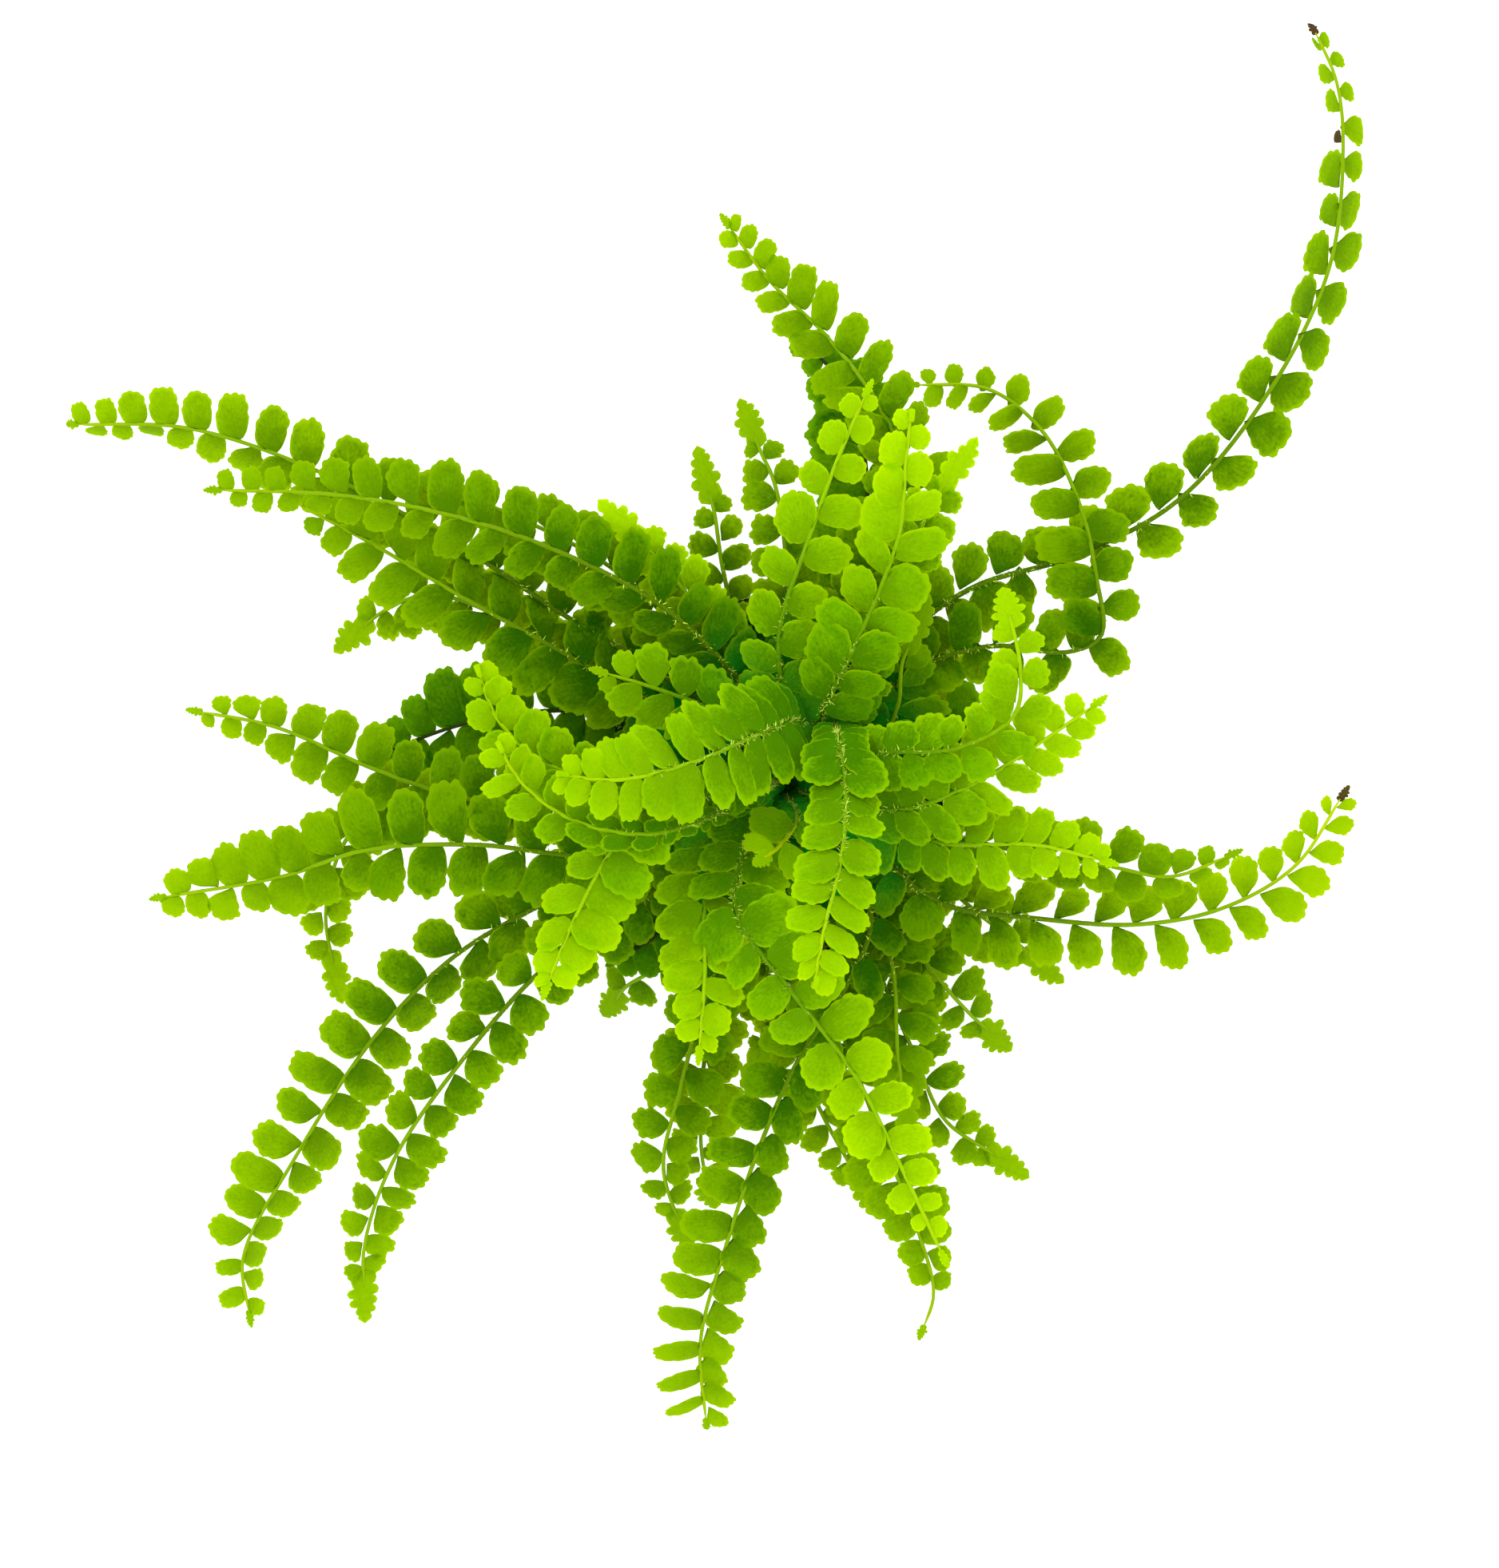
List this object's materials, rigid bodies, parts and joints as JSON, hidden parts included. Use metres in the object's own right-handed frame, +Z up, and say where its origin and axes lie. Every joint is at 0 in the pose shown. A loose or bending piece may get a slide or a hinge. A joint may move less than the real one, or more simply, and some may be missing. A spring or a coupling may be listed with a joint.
{
  "type": "potted fishbone fern",
  "caption": "small button-leaved fishbone fern with arching fronds of round leaflets, rooted in soil in a tapered black nursery pot",
  "frame": {"origin": "centre of the pot's flat base, on the surface it stands on", "axes": "+Z is up; seen from straight above, +X is to the right and +Y is to the top"},
  "size_m": [0.2455, 0.2674, 0.1287],
  "materials": {
    "pot_plastic": "satin black moulded plastic",
    "potting_soil": "dark crumbly peat and bark",
    "frond_young": "fresh yellow-green leaf, thin and translucent",
    "frond_mature": "mid-green leaf, slightly glossy",
    "frond_shaded": "dark green leaf of the lower layer"
  },
  "bodies": {
    "root": {"pot": "pot_plastic", "soil": "potting_soil", "frond_west_low": "frond_shaded", "frond_west_hook": "frond_mature", "frond_north_fork": "frond_mature", "frond_north_lobed": "frond_mature", "frond_north_low": "frond_shaded", "frond_east_stub": "frond_mature", "frond_east_low": "frond_shaded", "frond_southeast_hidden": "frond_mature", "frond_south_broad": "frond_mature", "frond_southeast_lobed": "frond_mature", "frond_south_far_lobed": "frond_mature", "frond_south_lobed": "frond_mature", "frond_south_stub": "frond_mature", "frond_southwest_under": "frond_mature", "frond_southwest_stub": "frond_mature", "frond_west_hanging": "frond_mature", "frond_southwest_short": "frond_shaded", "frond_south_curling": "frond_mature", "frond_west_middle": "frond_mature", "frond_southwest_long": "frond_mature", "frond_southwest_second": "frond_mature", "frond_south_under_arch": "frond_mature", "frond_south_inner": "frond_mature", "frond_south_long": "frond_mature", "frond_east_long": "frond_mature", "frond_east_behind": "frond_mature", "frond_northeast_long": "frond_mature", "frond_northeast_elbow": "frond_mature", "frond_north_long": "frond_mature", "frond_west_long": "frond_mature", "frond_west_straight": "frond_mature", "frond_northwest_behind": "frond_mature", "frond_northwest_young": "frond_young", "frond_west_high": "frond_mature", "frond_heart_north": "frond_mature", "frond_heart_northeast": "frond_mature", "frond_heart_south": "frond_mature", "frond_west_broad": "frond_mature", "frond_north_tall": "frond_young", "frond_north_side_shoot": "frond_young", "frond_north_bright": "frond_young", "frond_heart_west": "frond_young", "frond_south_upright": "frond_young", "frond_south_arch": "frond_young", "frond_east_bright": "frond_young", "frond_east_rising": "frond_young", "frond_east_turning": "frond_young", "frond_west_twin": "frond_young", "frond_southwest_bright": "frond_young", "frond_west_coiling": "frond_young", "frond_heart_yellow": "frond_young", "frond_crown_west": "frond_young", "frond_crown_south": "frond_young"}
  },
  "joints": []
}
